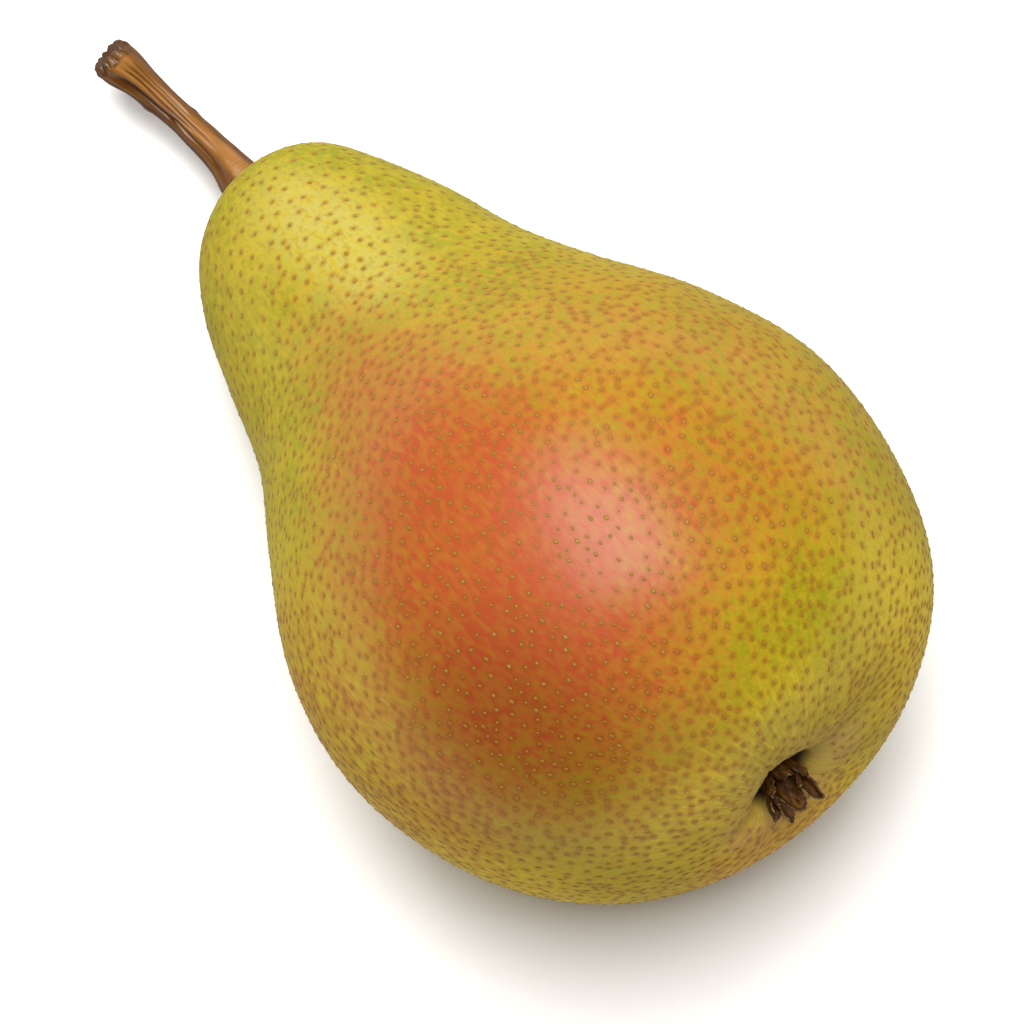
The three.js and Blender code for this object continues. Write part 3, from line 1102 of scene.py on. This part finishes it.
@dataclass
class Calyx:
    """The dried remains of the flower: a short cup with folded, curled sepals."""

    sepals: tuple[Sepal, ...] = (
        Sepal(198, 2.15, (0.9, -4.2, -1.7), 3.7),
        Sepal(228, 2.15, (2.1, -2.7, -2.9), 3.2),
        Sepal(264, 2.15, (1.9, -0.5, -3.3), 3.6, (70, 110)),
        Sepal(328, 2.15, (2.7, 2.5, -2.2), 3.2, (80, 130)),
        Sepal(20, 2.15, (0.4, 2.7, 0.8), 3.1, (100, 150)),
        Sepal(85, 2.05, (-0.6, 0.5, 3.0), 2.6),
        Sepal(140, 2.05, (-0.4, -2.6, 2.2), 2.6),
        Sepal(352, 1.6, (0.8, 1.3, 0.1), 2.2, (110, 170)),
        Sepal(172, 1.9, (0.3, -2.9, 0.0), 2.4, (90, 150)),
    )
    foot: float = -3.9
    knee: float = -1.1
    hook: float = 0.5
    rows: int = 26
    columns: int = 14
    thickness: float = 0.26
    crumple: Pair = (0.05, 0.11)
    ruffle: float = 0.07
    cup_outline: tuple[Pair, ...] = (
        (-4.35, 0.0), (-4.35, 2.1), (-3.9, 2.6), (-2.6, 2.5),
        (-2.5, 2.2), (-2.9, 1.6), (-3.9, 1.3), (-3.9, 0.0),
    )
    finish: DrySepal = field(default_factory=DrySepal)

    def build(self) -> Piece:
        """Models the cup and each sepal, and joins them to one piece."""
        parts = [self.cup()] + [self.sepal(number, one) for number, one in enumerate(self.sepals)]
        deselect_all()
        for part in parts:
            part.select_set(True)
        bpy.context.view_layer.objects.active = parts[0]
        bpy.ops.object.join()
        piece = bpy.context.object
        piece.name = piece.data.name = "calyx_sepals"
        lay_down(piece)
        return piece

    def cup(self) -> Piece:
        """Models the short cup that the sepals grow from, as a spun outline."""
        piece = single_point("cup")
        profile = [Vector((x, radius + CORE_DRIFT, 0)) for x, radius in self.cup_outline]
        bpy.ops.transform.translate(value=profile[0])
        for here, there in zip(profile, profile[1:]):
            extrude(there - here)
        edit_all(piece)
        bpy.ops.mesh.spin(steps=48, angle=2 * math.pi, center=(0, CORE_DRIFT, 0), axis=(1, 0, 0))
        close_up(piece)
        finish_with(piece, "SUBSURF", levels=1, render_levels=1)
        keep_values(piece, "edge", np.zeros(len(piece.data.vertices)))
        return piece

    def sepal(self, number: int, sepal: Sepal) -> Piece:
        """Models one sepal: a subdivided plane, folded and curled along its path, then thickened."""
        deselect_all()
        bpy.ops.mesh.primitive_grid_add(x_subdivisions=self.columns, y_subdivisions=self.rows, size=2.0)
        piece = bpy.context.object
        piece.name = piece.data.name = f"sepal_{number}"
        flat = places_of(piece)
        across_share, share = flat[:, 0], (flat[:, 1] + 1) / 2

        turn = math.radians(sepal.turn)
        outward = np.array([0, math.cos(turn), math.sin(turn)])
        across = np.array([0, -outward[2], outward[1]])
        centre = np.array([0, CORE_DRIFT, 0])
        foot = centre + outward * sepal.root
        start, knee = foot + (self.foot, 0, 0), foot + (self.knee, 0, 0)
        tip = centre + np.array(sepal.tip)
        s = share[:, None]
        spot = (1 - s) ** 2 * start + 2 * s * (1 - s) * knee + s**2 * tip
        slope = unit((1 - s) * (knee - start) + s * (tip - knee))
        facing = unit(np.cross(across, slope))

        blunt = np.sqrt(np.clip(1 - smoothstep(share, 0.82, 1.02) ** 2, 0.05, 1))
        belly = 0.65 + 0.4 * np.sin(math.pi * share**0.8)
        half = sepal.width / 2 * (1 - 0.25 * share**1.5) * belly * blunt
        curl = np.radians(sepal.curl[0] + (sepal.curl[1] - sepal.curl[0]) * share) / 2
        bend = across_share * curl
        radius = half / curl
        along_width = radius * np.sin(bend)
        lift = radius * (1 - np.cos(bend)) + self.hook * smoothstep(share, 0.6, 1.0) ** 2
        crumple = gentle_noise(np.column_stack([across_share * 1.2, share * 4]), 1.3, seed=20 + number)
        lift = lift + crumple * (self.crumple[0] + self.crumple[1] * share)
        moved = spot + along_width[:, None] * across - (lift - lift.mean() * 0.4)[:, None] * facing
        ruffle = gentle_noise(np.column_stack([across_share, share * 9]), 1.1, seed=40 + number)
        moved += (ruffle * self.ruffle * share)[:, None] * slope
        put_places(piece, moved)
        edge = np.maximum(np.abs(across_share) ** 3, smoothstep(share, 0.86, 1.0))
        keep_values(piece, "edge", edge * smoothstep(share, 0.25, 0.6))
        close_up(piece)
        finish_with(piece, "SOLIDIFY", thickness=self.thickness, offset=0.0)
        finish_with(piece, "SUBSURF", levels=1, render_levels=1)
        return piece

    def dress(self, piece: Piece) -> None:
        """Gives the calyx its finish and its place among the parts."""
        piece.data.materials.append(self.finish.make())
        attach(piece, Body.WHOLE.value)
        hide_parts("calyx")


@dataclass(frozen=True)
class Softbox:
    """A square soft light that faces the pear: its place and side in metres, power and colour."""

    name: str
    azimuth: float
    elevation: float
    distance: float
    side: float
    power: float
    colour: str = "#ffffff"


@dataclass
class Studio:
    """The pale floor, the soft light and the camera."""

    floor_size: float = 6.0
    floor_colour: str = "#f9f9f8"
    fibre_colour: str = "#dedcd8"
    fibre: Cloud = Cloud(0.004)
    sky: float = 0.035
    sky_colour: str = "#ffd2c8"
    softboxes: tuple[Softbox, ...] = (
        Softbox("softbox_overhead", 149, 79, 1.2, 0.80, 25.2),
        Softbox("softbox_low", 155, 52, 1.2, 0.6, 5.0),
        Softbox("softbox_fill", 345, 16, 1.2, 0.6, 1.7, "#ffcfae"),
    )
    aim: Triple = (14.83, -1.90, 37.85)
    azimuth: float = 48.372
    elevation: float = 83.178
    distance: float = 620.0
    lens: float = 185.96
    sensor: float = 36.0

    def build(self) -> None:
        """Sets up the floor, the light and the camera."""
        deselect_all()
        bpy.ops.mesh.primitive_plane_add(size=self.floor_size)
        floor = bpy.context.object
        floor.name = "floor"
        graph = Graph("matt_white_card")
        paper = graph.cloud(graph.add("TexCoord").outputs["Object"], self.fibre)
        paper = graph.fade(paper, 0.2, 0.8, 0.0, 0.04)
        shade = graph.blend(paper, self.floor_colour, self.fibre_colour)
        floor.data.materials.append(graph.surface(Base_Color=shade, Roughness=0.9))

        world = bpy.data.worlds.new("soft_white_surround")
        bpy.context.scene.world = world
        world.use_nodes = True
        surround = world.node_tree.nodes["Background"].inputs
        surround["Color"].default_value = linear_colour(self.sky_colour)
        surround["Strength"].default_value = self.sky

        for light in self.softboxes:
            azimuth, elevation = math.radians(light.azimuth), math.radians(light.elevation)
            level = math.cos(elevation)
            way = Vector((math.cos(azimuth) * level, math.sin(azimuth) * level, math.sin(elevation)))
            bpy.ops.object.light_add(type="AREA", location=way * light.distance)
            box = bpy.context.object
            box.name = light.name
            box.data.size = light.side
            box.data.energy = light.power
            box.data.color = linear_colour(light.colour)[:3]
            box.rotation_euler = way.to_track_quat("Z", "Y").to_euler()

        azimuth, elevation = math.radians(self.azimuth), math.radians(self.elevation)
        turn = Matrix.Rotation(azimuth, 4, "Z") @ Matrix.Rotation(math.pi / 2 - elevation, 4, "X")
        place = Vector(self.aim) + turn @ Vector((0, 0, self.distance))
        bpy.ops.object.camera_add(location=place * MILLIMETRE, rotation=turn.to_euler())
        camera = bpy.context.object
        camera.name = "camera"
        camera.data.sensor_width = self.sensor
        camera.data.lens = self.lens
        camera.data.clip_start = 0.01
        bpy.context.scene.camera = camera
        bpy.context.scene.view_settings.view_transform = "Standard"


def main() -> None:
    """Builds the pear's pieces in order, then the studio."""
    logging.basicConfig(level=logging.INFO, format="%(name)s: %(message)s")
    fruit = Fruit()
    flesh = fruit.build()
    built = [(fruit, flesh)]
    for maker in (Pores(flesh), Stem(), Calyx()):
        built.append((maker, maker.build()))
    for maker, piece in built:
        maker.dress(piece)
        count = sum(len(face.vertices) - 2 for face in piece.data.polygons)
        LOG.info("%s has %d triangles", piece.name, count)
    Studio().build()


if __name__ == "__main__":
    main()
